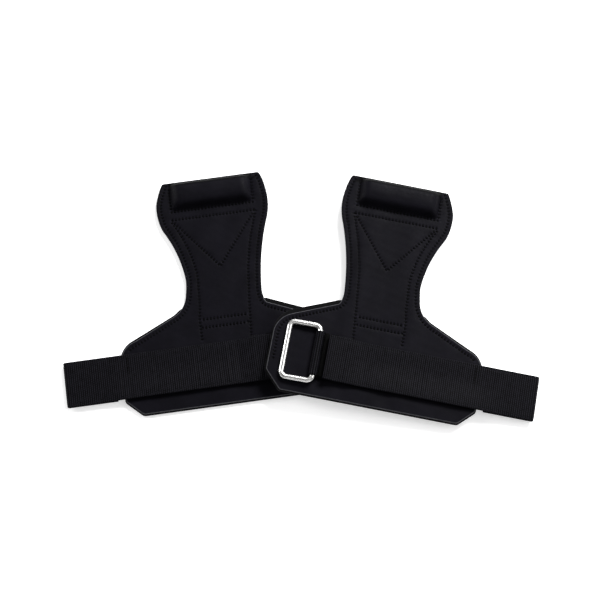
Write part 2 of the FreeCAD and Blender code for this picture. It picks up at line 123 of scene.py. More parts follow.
# outlines, clockwise seen from above; a third number bows the next stretch to the left
LEATHER_OUTLINE = [
    (-43.3, 165.5), (39.9, 165.5, 0.6), (46.9, 147.0, 1.4), (44.0, 124.0, -2.6), (29.7, 78.0, -0.3),
    (31.2, 65.0, -2.6), (43.0, 47.6), (77.5, 31.0, 2.4), (90.4, 19.0), (90.4, -18.8),
    (77.2, -31.4), (-70.2, -31.4), (-84.0, -16.6), (-84.0, 17.5, 2.4), (-73.0, 33.3),
    (-34.6, 49.9, -1.0), (-32.5, 64.0, -1.9), (-43.8, 121.0, 2.3), (-47.0, 152.0, 0.6),
]
CUSHION_OUTLINE = [
    (-34.6, 54.0), (37.0, 54.0), (43.0, 49.3), (78.5, 32.7, 2.4), (91.4, 19.0), (91.4, -19.3),
    (77.7, -32.4), (-70.7, -32.4), (-85.0, -17.1), (-85.0, 18.5, 2.4), (-74.0, 37.3),
]
SIDE_SEAMS = [
    [(36.2, 131.0, -3.0), (19.7, 80.0), (20.9, 54.0), (22.4, 44.0), (22.4, 23.0)],
    [(-36.2, 131.0, 1.4), (-23.3, 80.0), (-20.7, 54.0), (-18.4, 23.0)],
]
ROLL_SEAMS = [
    [(-37.0, 139.1), (36.6, 139.1)], [(-36.8, 131.8), (36.4, 131.8)],
    [(-35.4, 140.6), (-36.0, 161.0)], [(35.0, 140.6), (34.6, 161.0)],
]
V_SEAM = [(-34.6, 130.4), (-0.6, 86.2), (34.6, 130.4)]
WRIST_SEAMS = [[(-17.4, 41.6), (20.4, 41.6)], [(-17.0, 34.5), (20.6, 34.5)]]


# ---- curves in the plane ----------------------------------------------------------------------

def bowed(start, stop, bow, step):
    """Points from start up to stop, on a line or on an arc that rises bow to the left."""
    start, stop = np.array(start, float), np.array(stop, float)
    run = stop - start
    length = np.hypot(*run)
    count = max(2, int(round(length / step)))
    share = np.arange(count) / count
    points = start + share[:, None] * run
    if abs(bow) < 1e-6:
        return points
    left = np.array([-run[1], run[0]]) / length
    radius = (length ** 2 / 4 + bow ** 2) / (2 * abs(bow))
    along = (share - 0.5) * length
    rise = np.sqrt(radius ** 2 - along ** 2) - (radius - abs(bow))
    return points + np.sign(bow) * rise[:, None] * left


def trace(corners, step=1.0, closed=True):
    """Dense points through corners."""
    parts = []
    last = len(corners) if closed else len(corners) - 1
    for index in range(last):
        here, there = corners[index], corners[(index + 1) % len(corners)]
        parts.append(bowed(here[:2], there[:2], here[2] if len(here) > 2 else 0.0, step))
    if not closed:
        parts.append(np.array([corners[-1][:2]], float))
    return np.vstack(parts)


def rounded(points, passes, closed=True):
    """Corners softened by averaging neighbours."""
    for _ in range(passes):
        before, after = np.roll(points, 1, 0), np.roll(points, -1, 0)
        mean = (before + 2 * points + after) / 4
        if not closed:
            mean[0], mean[-1] = points[0], points[-1]
        points = mean
    return points


def resampled(line, step):
    """Equally spaced points along a line, step or a little less apart."""
    gaps = np.hypot(*np.diff(line, axis=0).T)
    along = np.concatenate([[0], np.cumsum(gaps)])
    count = max(2, int(math.ceil(along[-1] / step)) + 1)
    spots = np.linspace(0, along[-1], count)
    return np.stack([np.interp(spots, along, line[:, axis]) for axis in range(line.shape[1])], 1)


def nearest(points, line, closed=False):
    """Distance from each point to a line, and how far along the line the nearest spot is."""
    ends = np.roll(line, -1, 0) if closed else line[1:]
    starts = line if closed else line[:-1]
    runs = ends - starts
    squares = (runs ** 2).sum(1)
    before = np.concatenate([[0], np.cumsum(np.sqrt(squares))[:-1]])
    best = np.full(len(points), 1e9)
    spot = np.zeros(len(points))
    for first in range(0, len(points), 4000):
        chunk = points[first:first + 4000, None, :]
        share = np.clip(((chunk - starts) * runs).sum(2) / squares, 0, 1)
        gaps = np.sqrt(((chunk - starts - share[..., None] * runs) ** 2).sum(2))
        pick = gaps.argmin(1)
        rows = np.arange(len(pick))
        best[first:first + 4000] = gaps[rows, pick]
        spot[first:first + 4000] = before[pick] + share[rows, pick] * np.sqrt(squares[pick])
    return best, spot


def normals(line, closed):
    """Unit vectors to the right of a line, which is inwards on a clockwise outline."""
    if closed:
        run = np.roll(line, -1, 0) - np.roll(line, 1, 0)
    else:
        run = np.gradient(line, axis=0)
    run = run / np.maximum(np.hypot(*run.T), 1e-9)[:, None]
    return np.stack([run[:, 1], -run[:, 0]], 1)


def smooth(low, high, value):
    """From 0 at low to 1 at high, level at both ends."""
    share = np.clip((value - low) / (high - low), 0, 1)
    return share * share * (3 - 2 * share)


class Ripple:
    """Gentle unevenness of a sheet, from a few waves in seeded directions."""

    def __init__(self, seed, lengths, height):
        draw = random.Random(seed)
        self.waves = [(2 * math.pi / length, draw.uniform(0, math.pi), draw.uniform(0, 2 * math.pi))
                      for length in lengths]
        self.height = height / len(lengths)

    def at(self, points):
        total = np.zeros(len(points))
        for number, heading, phase in self.waves:
            total += np.sin(number * (points[:, 0] * math.cos(heading)
                                      + points[:, 1] * math.sin(heading)) + phase)
        return total * self.height


# ---- meshes ------------------------------------------------------------------------------------

def thinned(groups):
    """Points of all groups, less those too near an earlier one. Each group is (points, gap)."""
    kept, cells = [], {}
    for points, gap in groups:
        for x, y in points:
            column, line = int(math.floor(x)), int(math.floor(y))
            around = ((column + i, line + j) for i in (-1, 0, 1) for j in (-1, 0, 1))
            if not any((u - x) ** 2 + (v - y) ** 2 < gap * gap
                       for cell in around for u, v in cells.get(cell, ())):
                kept.append((x, y))
                cells.setdefault((column, line), []).append((x, y))
    return np.array(kept)


def beside(line, offset, closed=False):
    """The line moved sideways, to its right where offset is above 0."""
    return line + offset * normals(line, closed)


def inset(outline, distance):
    """The outline moved inwards, less the points that come too near another stretch of it."""
    moved = beside(outline, distance, True)
    gaps, _ = nearest(moved, outline, True)
    return moved[gaps > distance - 0.06]


def plan(outline, depths, lines, step):
    """Triangles over an outline: rings at depths inside it, rows beside lines, and a grid."""
    size = len(outline)
    groups = [(inset(outline, depth), RIM_GAP) for depth in depths]
    for line in lines:
        groups += [(beside(line, offset), ROW_GAP) for offset in SEAM_ROWS]
    low, high = outline.min(0), outline.max(0)
    grid = []
    for k, y in enumerate(np.arange(low[1], high[1], step * 0.87)):
        columns = np.arange(low[0] + step / 2 * (k % 2), high[0], step)
        grid.append(np.column_stack([columns, np.full(len(columns), y)]))
    groups.append((np.vstack(grid), step * 0.62))
    inner = thinned(groups)
    gaps, _ = nearest(inner, outline, True)
    inner = inner[(gaps > depths[0] * 0.8) & inside(inner, outline)]
    points = [Vector(p) for p in np.vstack([outline, inner])]
    edges = [(k, (k + 1) % size) for k in range(size)]
    found, _, faces, origins, _, _ = delaunay_2d_cdt(points, edges, [], 1, 1e-5)
    spots = np.array([(p.x, p.y) for p in found])
    rim = [0] * size
    for index, sources in enumerate(origins):
        for source in sources:
            if source < size:
                rim[source] = index
    return spots, [list(face) for face in faces], rim


def inside(points, outline):
    """Which points are inside a closed outline."""
    result = np.zeros(len(points), bool)
    ends = np.roll(outline, -1, 0)
    for (x1, y1), (x2, y2) in zip(outline, ends):
        if y1 == y2:
            continue
        crosses = (points[:, 1] > min(y1, y2)) & (points[:, 1] <= max(y1, y2))
        result ^= crosses & (points[:, 0] < x1 + (points[:, 1] - y1) * (x2 - x1) / (y2 - y1))
    return result


def solid_sheet(outline, top, bottom, depths, lines=(), step=2.2, wall=(0.5,)):
    """A closed sheet over an outline: points, faces, the number of the first face of its side
    wall, and which of the faces before that lie along the edge below the crease, where the cut edge's
    painted highlight goes."""
    spots, triangles, rim = plan(outline, depths, lines, step)
    gaps, _ = nearest(spots, outline, True)
    gaps[rim] = 0
    count = len(spots)
    upper = np.column_stack([spots, top(spots, gaps)])
    lower = np.column_stack([spots, bottom(spots, gaps)])
    points = [upper, lower]
    faces = []
    for face in triangles:
        a, b, c = (spots[k] for k in face[:3])
        if (b[0] - a[0]) * (c[1] - a[1]) - (b[1] - a[1]) * (c[0] - a[0]) < 0:
            face = face[::-1]
        faces.append(tuple(face))
        faces.append(tuple(k + count for k in reversed(face)))
    walls = len(faces)
    gaps = np.concatenate([gaps, gaps])
    rows = np.concatenate([spots[:, 1], spots[:, 1]])
    # top faces near the edge below the crease, which get the cut edge's painted highlight
    highlight_verge = np.array([gaps[list(face)].mean() < PAINTED_HIGHLIGHT_VERGE and rows[face[0]] < CREASE_Y
                      for face in faces])
    levels = [rim]
    for number, share in enumerate(wall):
        between = upper[rim] + (lower[rim] - upper[rim]) * share
        between[:, :2] -= normals(outline, True) * WALL_BULGE
        points.append(between)
        start = 2 * count + number * len(rim)
        levels.append(list(range(start, start + len(rim))))
    levels.append([k + count for k in rim])
    for high, low in zip(levels, levels[1:]):
        for k in range(len(rim)):
            after = (k + 1) % len(rim)
            faces.append((high[k], high[after], low[after], low[k]))
    return np.vstack(points), faces, walls, highlight_verge


def strip(path, width, middle, half_thick, relief, across):
    """A band along a path of (x, z) points: points and faces. relief(along, y, sign) raises its
    left-hand face, where sign is 1, and its right-hand face, where sign is -1."""
    run = np.gradient(path, axis=0)
    run /= np.hypot(*run.T)[:, None]
    up = np.stack([-run[:, 1], run[:, 0]], 1)
    along = np.concatenate([[0], np.cumsum(np.hypot(*np.diff(path, axis=0).T))])
    share = np.linspace(-1, 1, across)
    stations, rows = len(path), []
    edge = width / 2 * (1 - np.abs(share))
    near = np.clip(edge / SELVAGE_ROUND, 0, 1)
    thin = np.sqrt(np.clip(1 - (1 - near) ** 2, 0.0, 1)) * 0.9 + 0.1
    for sign in (1, -1):
        grid_s, grid_y = np.meshgrid(along, share[::sign] * width / 2, indexing="ij")
        high = sign * (half_thick + relief(grid_s, grid_y, sign)) * thin[::sign][None, :]
        x = path[:, 0][:, None] + up[:, 0][:, None] * high
        z = path[:, 1][:, None] + up[:, 1][:, None] * high
        rows.append(np.stack([x, grid_y + middle, z], 2))
    ring = np.concatenate(rows, 1)
    size = 2 * across
    points = ring.reshape(-1, 3)
    faces = []
    for i in range(stations - 1):
        for j in range(size):
            after = (j + 1) % size
            faces.append((i * size + j, i * size + after, (i + 1) * size + after, (i + 1) * size + j))
    last = (stations - 1) * size
    for j in range(across - 1):
        mirror = size - 1 - j
        faces.append((j, mirror, mirror - 1, j + 1))
        faces.append((last + j, last + j + 1, last + mirror - 1, last + mirror))
    return points, faces


def tube(path, radius, sides=16, closed=True, squeeze=1.0):
    """A round bar along a path of points."""
    path = np.asarray(path, float)
    if closed:
        run = np.roll(path, -1, 0) - np.roll(path, 1, 0)
    else:
        run = np.gradient(path, axis=0)
    run /= np.linalg.norm(run, axis=1)[:, None]
    up = np.tile([0.0, 0.0, 1.0], (len(path), 1))
    side = np.cross(run, up)
    side /= np.linalg.norm(side, axis=1)[:, None]
    up = np.cross(side, run)
    angle = np.arange(sides) * 2 * math.pi / sides
    radius = np.broadcast_to(np.asarray(radius, float), (len(path),))
    ring = (path[:, None] + radius[:, None, None] * (np.cos(angle)[None, :, None] * side[:, None]
            + squeeze * np.sin(angle)[None, :, None] * up[:, None]))
    faces = []
    count = len(path)
    for i in range(count if closed else count - 1):
        following = (i + 1) % count
        for j in range(sides):
            after = (j + 1) % sides
            faces.append((i * sides + j, i * sides + after,
                          following * sides + after, following * sides + j))
    if not closed:
        faces.append(tuple(range(sides - 1, -1, -1)))
        faces.append(tuple(range((count - 1) * sides, count * sides)))
    return ring.reshape(-1, 3), faces


def tube_upright(path, radius, sides=6):
    """A thin tapering stem along points that mostly run up or down."""
    path = np.array(path, float)
    angle = np.arange(sides) * 2 * math.pi / sides
    rings = [np.column_stack([x + r * np.cos(angle), y + r * np.sin(angle), np.full(sides, z)])
             for (x, y, z), r in zip(path, radius)]
    faces = []
    for i in range(len(path) - 1):
        for j in range(sides):
            after = (j + 1) % sides
            faces.append((i * sides + j, (i + 1) * sides + j,
                          (i + 1) * sides + after, i * sides + after))
    faces.append(tuple(range(sides)))
    faces.append(tuple(range((len(path) - 1) * sides, len(path) * sides))[::-1])
    return np.vstack(rings), faces


def stitches(line, height, pitch=STITCH_PITCH, length=STITCH_LENGTH, thick=THREAD):
    """Stitches along a line, each sunk at both ends into the surface of that height."""
    gaps = np.hypot(*np.diff(line, axis=0).T)
    along = np.concatenate([[0], np.cumsum(gaps)])
    count = max(1, int(along[-1] // pitch))
    spare = (along[-1] - count * pitch) / 2
    arch, swell = np.array(STITCH_ARCH), np.array(STITCH_SWELL) * thick
    parts = []
    for k in range(count):
        spots = spare + (k + 0.5) * pitch + (arch[:, 0] - 0.5) * length
        flat = np.stack([np.interp(spots, along, line[:, 0]), np.interp(spots, along, line[:, 1])], 1)
        level = height(flat) + arch[:, 1] - STITCH_SINK
        parts.append(tube(np.column_stack([flat, level]), swell, 8, closed=False, squeeze=0.85))
    return joined(parts)


def joined(parts):
    """Several meshes as one."""
    points, faces, start = [], [], 0
    for found, sides in parts:
        points.append(found)
        faces += [tuple(index + start for index in face) for face in sides]
        start += len(found)
    return np.vstack(points), faces


# ---- materials ---------------------------------------------------------------------------------

class Look:
    """A node material: a principled surface with its colour, roughness and bump worked out."""

    def __init__(self, name, colour, roughness, **sockets):
        self.material = bpy.data.materials.new(name)
        self.material.use_nodes = True
        self.nodes = self.material.node_tree.nodes
        self.links = self.material.node_tree.links
        self.shader = self.nodes["Principled BSDF"]
        self.shader.inputs["Base Color"].default_value = (*colour, 1.0)
        self.shader.inputs["Roughness"].default_value = roughness
        for socket, value in sockets.items():
            self.shader.inputs[socket.replace("_", " ")].default_value = value
        self.colour, self.height = colour, None
        self.place = self.nodes.new("ShaderNodeTexCoord").outputs["Object"]

    def put(self, value, socket):
        """A link from another socket, or a plain value."""
        if isinstance(value, bpy.types.NodeSocket):
            self.links.new(value, socket)
        else:
            socket.default_value = value

    def texture(self, kind, size):
        """A texture node with features of about size millimetres."""
        scale = self.nodes.new("ShaderNodeMapping")
        self.links.new(self.place, scale.inputs["Vector"])
        scale.inputs["Scale"].default_value = [1000 / size] * 3
        node = self.nodes.new(kind)
        self.links.new(scale.outputs["Vector"], node.inputs["Vector"])
        node.inputs["Scale"].default_value = 1.0
        return node

    def attribute(self, name):
        node = self.nodes.new("ShaderNodeAttribute")
        node.attribute_name = name
        return node

    def noise(self, size, detail, rough=0.55):
        node = self.texture("ShaderNodeTexNoise", size)
        node.inputs["Detail"].default_value = detail
        node.inputs["Roughness"].default_value = rough
        return node.outputs["Fac"]

    def cells(self, size):
        return self.texture("ShaderNodeTexVoronoi", size).outputs["Distance"]

    def math(self, kind, first, second=0.0, clamp=False):
        node = self.nodes.new("ShaderNodeMath")
        node.operation = kind
        node.use_clamp = clamp
        self.put(first, node.inputs[0])
        self.put(second, node.inputs[1])
        return node.outputs[0]

    def ramp(self, value, *stops):
        """Colours or greys at places along value."""
        node = self.nodes.new("ShaderNodeValToRGB")
        self.links.new(value, node.inputs["Fac"])
        band = node.color_ramp.elements
        while len(band) < len(stops):
            band.new(0.5)
        for element, (place, tone) in zip(band, stops):
            element.position = place
            element.color = (*tone, 1.0) if isinstance(tone, tuple) else (tone, tone, tone, 1.0)
        return node.outputs["Color"]

    def tinted(self, value, darkest, lightest):
        """Colour between darkest and lightest times the base colour, following value."""
        stops = [(place, tuple(part * gain for part in self.colour))
                 for place, gain in ((0.28, darkest), (0.72, lightest))]
        self.links.new(self.ramp(value, *stops), self.shader.inputs["Base Color"])

    def roughened(self, value, low, high):
        self.links.new(self.ramp(value, (0.3, low), (0.7, high)), self.shader.inputs["Roughness"])

    def bumped(self, value, distance, strength):
        """Bump of a height from 0 to 1, distance millimetres deep."""
        node = self.nodes.new("ShaderNodeBump")
        self.links.new(value, node.inputs["Height"])
        node.inputs["Distance"].default_value = distance * MM
        node.inputs["Strength"].default_value = strength
        if self.height:
            self.links.new(self.height, node.inputs["Normal"])
        self.height = node.outputs["Normal"]
        self.links.new(self.height, self.shader.inputs["Normal"])


def leather_look():
    """Fine pores and a soft mottle, and the painted shade and highlight that the mesh carries round
    its seams and along the roll's back edge.
    """
    look = Look("black_microfibre_leather", (0.0039, 0.0036, 0.0057), 0.55,
                Specular_IOR_Level=0.035)
    # painted shade under stitches and along the roll's back edge, and a painted highlight between
    # stitches, all from the mesh
    seam_dip_and_painted_light = look.attribute("seam").outputs["Fac"]
    mottle = look.math("ADD", look.math("MULTIPLY", look.noise(16.0, 4.0, 0.6), 0.22), 0.33)
    seams = look.math("MULTIPLY", seam_dip_and_painted_light, 0.42)
    look.tinted(look.math("ADD", mottle, seams, clamp=True), 0.15, 2.0)
    look.roughened(look.noise(2.2, 4.0), 0.47, 0.63)
    look.bumped(look.cells(0.62), 0.05, 0.7)
    look.bumped(look.noise(0.3, 2.0), 0.03, 0.6)
    return look.material


def edge_painted_highlight_look():
    # partly the cut edge's own lighter grey, partly a painted highlight: on every side wall, and on
    # top faces only along the wrist part's edge
    look = Look("cut_leather_edge_painted_highlight", (0.037, 0.037, 0.042), 0.6, Specular_IOR_Level=0.2)
    look.tinted(look.noise(1.2, 3.0), 0.6, 1.4)
    look.bumped(look.noise(0.35, 2.0), 0.06, 0.8)
    return look.material


def neoprene_look():
    look = Look("black_neoprene", (0.0026, 0.0026, 0.0029), 0.75, Specular_IOR_Level=0.04,
                Sheen_Weight=0.01, Sheen_Roughness=0.5)
    look.tinted(look.noise(6.0, 3.0), 0.8, 1.25)
    look.bumped(look.cells(0.8), 0.06, 0.8)
    look.bumped(look.noise(0.4, 2.0), 0.05, 0.6)
    return look.material


def foam_look():
    look = Look("black_foam", (0.008, 0.008, 0.008), 0.85, Specular_IOR_Level=0.15)
    look.tinted(look.cells(0.7), 0.55, 1.3)
    look.bumped(look.cells(0.55), 0.15, 0.9)
    return look.material


def lining_look():
    look = Look("black_knit_lining", (0.0060, 0.0060, 0.0072), 0.82, Specular_IOR_Level=0.06,
                Sheen_Weight=0.03, Sheen_Roughness=0.5)
    look.tinted(look.noise(3.0, 3.0), 0.75, 1.3)
    look.bumped(look.cells(0.9), 0.10, 0.9)
    look.bumped(look.noise(0.35, 2.0), 0.05, 0.6)
    return look.material


def webbing_look():
    """Yarns over and under, in the band's own length and width, which its mesh carries in mm, with a
    painted highlight on each rib's crest, painted shade between ribs, and the painted shade the mesh
    carries.
    """
    look = Look("black_webbing", (0.0026, 0.0025, 0.0034), 0.55, Specular_IOR_Level=0.03)
    spot = look.attribute("band").outputs["Vector"]
    parts = look.nodes.new("ShaderNodeSeparateXYZ")
    look.links.new(spot, parts.inputs["Vector"])
    length, width, painted_shade = parts.outputs["X"], parts.outputs["Y"], parts.outputs["Z"]
    rib = look.math("MULTIPLY", length, 1 / RIB)
    step = look.math("MULTIPLY", look.math("FLOOR", look.math("ADD", rib, 0.5)), 0.5)
    turn = look.math("ADD", look.math("MULTIPLY", width, 1 / YARN), step)
    yarn = look.math("COSINE", look.math("MULTIPLY", turn, 2 * math.pi))
    crest = look.math("ABSOLUTE", look.math("COSINE", look.math("MULTIPLY", rib, math.pi)))
    weave = look.math("MULTIPLY", crest, look.math("ADD", look.math("MULTIPLY", yarn, 0.16), 0.84))
    patch = look.math("MULTIPLY", look.noise(3.2, 4.0, 0.65), 0.7)
    # painted highlight on the rib crests and painted shade between them, random patches, less the
    # mesh's painted shade
    tone = look.math("ADD", look.math("MULTIPLY", weave, 1.1), look.math("SUBTRACT", patch, 0.56))
    look.tinted(look.math("SUBTRACT", tone, painted_shade, clamp=True), 0.0, 3.6)
    look.bumped(weave, 0.2, 0.9)
    look.bumped(look.noise(0.35, 2.0), 0.04, 0.6)
    return look.material


def thread_look():
    look = Look("black_thread", (0.0009, 0.0009, 0.001), 0.55, Specular_IOR_Level=0.03)
    look.tinted(look.noise(0.6, 2.0), 0.7, 1.4)
    look.bumped(look.noise(0.25, 2.0), 0.05, 0.8)
    return look.material


def hook_look():
    look = Look("black_hook_tape", (0.0028, 0.0028, 0.003), 0.6, Specular_IOR_Level=0.05)
    look.tinted(look.noise(0.8, 2.0), 0.7, 1.5)
    look.bumped(look.noise(0.4, 2.0), 0.06, 0.7)
    return look.material


def nickel_look():
    look = Look("nickel_plated_steel", (0.78, 0.775, 0.76), 0.2, Metallic=1.0)
    look.tinted(look.noise(9.0, 4.0), 0.93, 1.05)
    look.roughened(look.noise(3.0, 5.0, 0.65), 0.22, 0.36)
    look.bumped(look.noise(1.1, 4.0), 0.008, 0.3)
    return look.material


def dowel_look():
    look = Look("dowel_plastic", (0.02, 0.02, 0.021), 0.4, Specular_IOR_Level=0.5)
    look.tinted(look.noise(2.5, 3.0), 0.8, 1.2)
    look.bumped(look.noise(0.7, 2.0), 0.04, 0.4)
    return look.material


LOOKS = {
    "leather": leather_look(), "neoprene": neoprene_look(), "foam": foam_look(),
    "lining": lining_look(), "webbing": webbing_look(), "thread": thread_look(),
    "hook_tape": hook_look(), "ring_steel": nickel_look(), "dowel": dowel_look(),
    "edge": edge_painted_highlight_look(),
}


# ---- one grip ----------------------------------------------------------------------------------

def profile_table(stops, blur):
    """Heights along a line through stops, softened over blur millimetres."""
    places = np.arange(stops[0][0], stops[-1][0], 0.1)
    levels = np.interp(places, [s[0] for s in stops], [s[1] for s in stops])
    width = int(blur / 0.1)
    kernel = np.hanning(2 * width + 1)
    return places, np.convolve(levels, kernel / kernel.sum(), "same")


ROLL_PROFILE = profile_table(
    [(130.0, 0.0), (ROLL_LOW, 0.0), (ROLL_LOW + 1.2, 2.9), (ROLL_LOW + 2.6, 5.6),
     (ROLL_LOW + 4.4, 7.2), (ROLL_CREST + 1.0, 7.9), (ROLL_BACK, 8.3), (ROLL_BACK + 5.5, 8.1),
     (ROLL_HIGH - 1.6, 6.8), (ROLL_HIGH - 0.2, 3.6), (ROLL_HIGH + 0.9, 0.2), (175.0, 0.0)], 1.3)


def roll_rise(points):
    """How far the roll lifts the leather."""
    along = np.interp(points[:, 1], *ROLL_PROFILE)
    over = np.abs(points[:, 0] - ROLL_MIDDLE) - (ROLL_HALF - ROLL_END)
    share = np.clip(over / ROLL_END, 0, 1)
    return along * (1 - share ** 2.2) ** 0.9


def edge_seam_lines(outline):
    """The seam that follows the leather's edge, in two runs that end short of the strap."""
    ring = inset(outline, EDGE_INSET)
    start = int(np.argmax(ring[:, 1] + ring[:, 0] * 0.5))
    ring = np.roll(ring, -start, 0)
    x, y = ring.T
    outer = ring[(x > 0) & (y > EDGE_SEAM_OUTER_LOW) & (y < EDGE_SEAM_HIGH)]
    inner = ring[(x < 0) & (y > EDGE_SEAM_INNER_LOW) & (y < EDGE_SEAM_HIGH)]
    outer = np.vstack([[EDGE_SEAM_OUTER_END], outer])
    inner = np.vstack([inner, [EDGE_SEAM_INNER_END]])
    return [resampled(rounded(run, 6, closed=False), SEAM_STEP) for run in (outer, inner)]


def open_seam(corners, step=1.0, passes=0):
    """A line of sewing through corners, softened by averaging."""
    line = rounded(trace(corners, step, closed=False), passes, closed=False)
    return resampled(line, SEAM_STEP)


class Skin:
    """The leather's upper surface: crowned over foam, drawn down at its seams, lifted by the roll."""

    def __init__(self, outline, seams, seed):
        self.outline, self.seams = outline, seams
        self.ripple = Ripple(seed, (55.0, 38.0, 27.0, 19.0), 0.5)
        self.fine = Ripple(seed + 7, (9.0, 6.5, 4.6), 0.06)

    def base(self, points, gaps=None):
        """The leather's height away from its seams and its edge."""
        if gaps is None:
            gaps, _ = nearest(points, self.outline, True)
        calm = smooth(0.0, 9.0, gaps)
        return TOP + roll_rise(points) + calm * (self.ripple.at(points) + self.fine.at(points))

    def seam_dip_and_painted_light(self, points):
        """How far the seams pull the leather down, most under each stitch, and the light painted
        there:
        from -1, painted shade under a stitch, to 1, a painted highlight where it swells between
        stitches."""
        depth, tone = np.zeros(len(points)), np.zeros(len(points))
        for line in self.seams:
            low, high = line.min(0) - 5.0, line.max(0) + 5.0
            close = np.nonzero(((points > low) & (points < high)).all(1))[0]
            gaps, spot = nearest(points[close], line)
            length = np.hypot(*np.diff(line, axis=0).T).sum()
            phase = (spot - (length % STITCH_PITCH) / 2) / STITCH_PITCH
            wave = np.cos(2 * np.pi * phase)
            under = (0.5 - 0.5 * wave) ** 0.8
            pull = DIP * np.exp(-(gaps / DIP_REACH) ** 2)
            pull += (STITCH_DIP * under - STITCH_SWELLING) * np.exp(-(gaps / STITCH_REACH) ** 2)
            # painted shade under each stitch and a painted highlight on the swell between stitches
            shade = (0.8 * wave - 0.2) * np.exp(-(gaps / SHADE_REACH) ** 2)
            for total, change in ((depth, pull), (tone, shade)):
                total[close] = np.where(np.abs(change) > np.abs(total[close]), change, total[close])
        return depth, tone

    def top(self, points, gaps):
        edge = EDGE_ROUND - np.clip(gaps, 0, EDGE_ROUND)
        drop = EDGE_ROUND - np.sqrt(np.maximum(EDGE_ROUND ** 2 - edge ** 2, 0))
        return self.base(points, gaps) - self.seam_dip_and_painted_light(points)[0] - drop

    def bottom(self, points, gaps):
        skin = self.base(points, gaps) - LEATHER
        return np.where(roll_rise(points) > 0.3, np.maximum(skin, PAD), PAD + 0.02)


def pad_faces(low, high, radius, swell, seed):
    """Upper and lower surface of a foam layer with softened edges."""
    ripple = Ripple(seed, (31.0, 17.0), 0.12)

    def drop(gaps):
        edge = radius - np.clip(gaps, 0, radius)
        return radius - np.sqrt(np.maximum(radius ** 2 - edge ** 2, 0))

    def top(points, gaps):
        return high - drop(gaps) - 0.02

    def bottom(points, gaps):
        return low + drop(gaps) + swell * smooth(0, 6, gaps) * (0.5 + ripple.at(points))

    return top, bottom


def woven(along, y):
    """Height of the webbing's ribs and of the yarns that cross them, each from 0 to 1."""
    phase = along / RIB
    ridge = np.abs(np.cos(np.pi * phase)) ** 0.7
    return ridge, 0.5 + 0.5 * np.cos(2 * np.pi * (y / YARN + 0.5 * np.floor(phase + 0.5)))


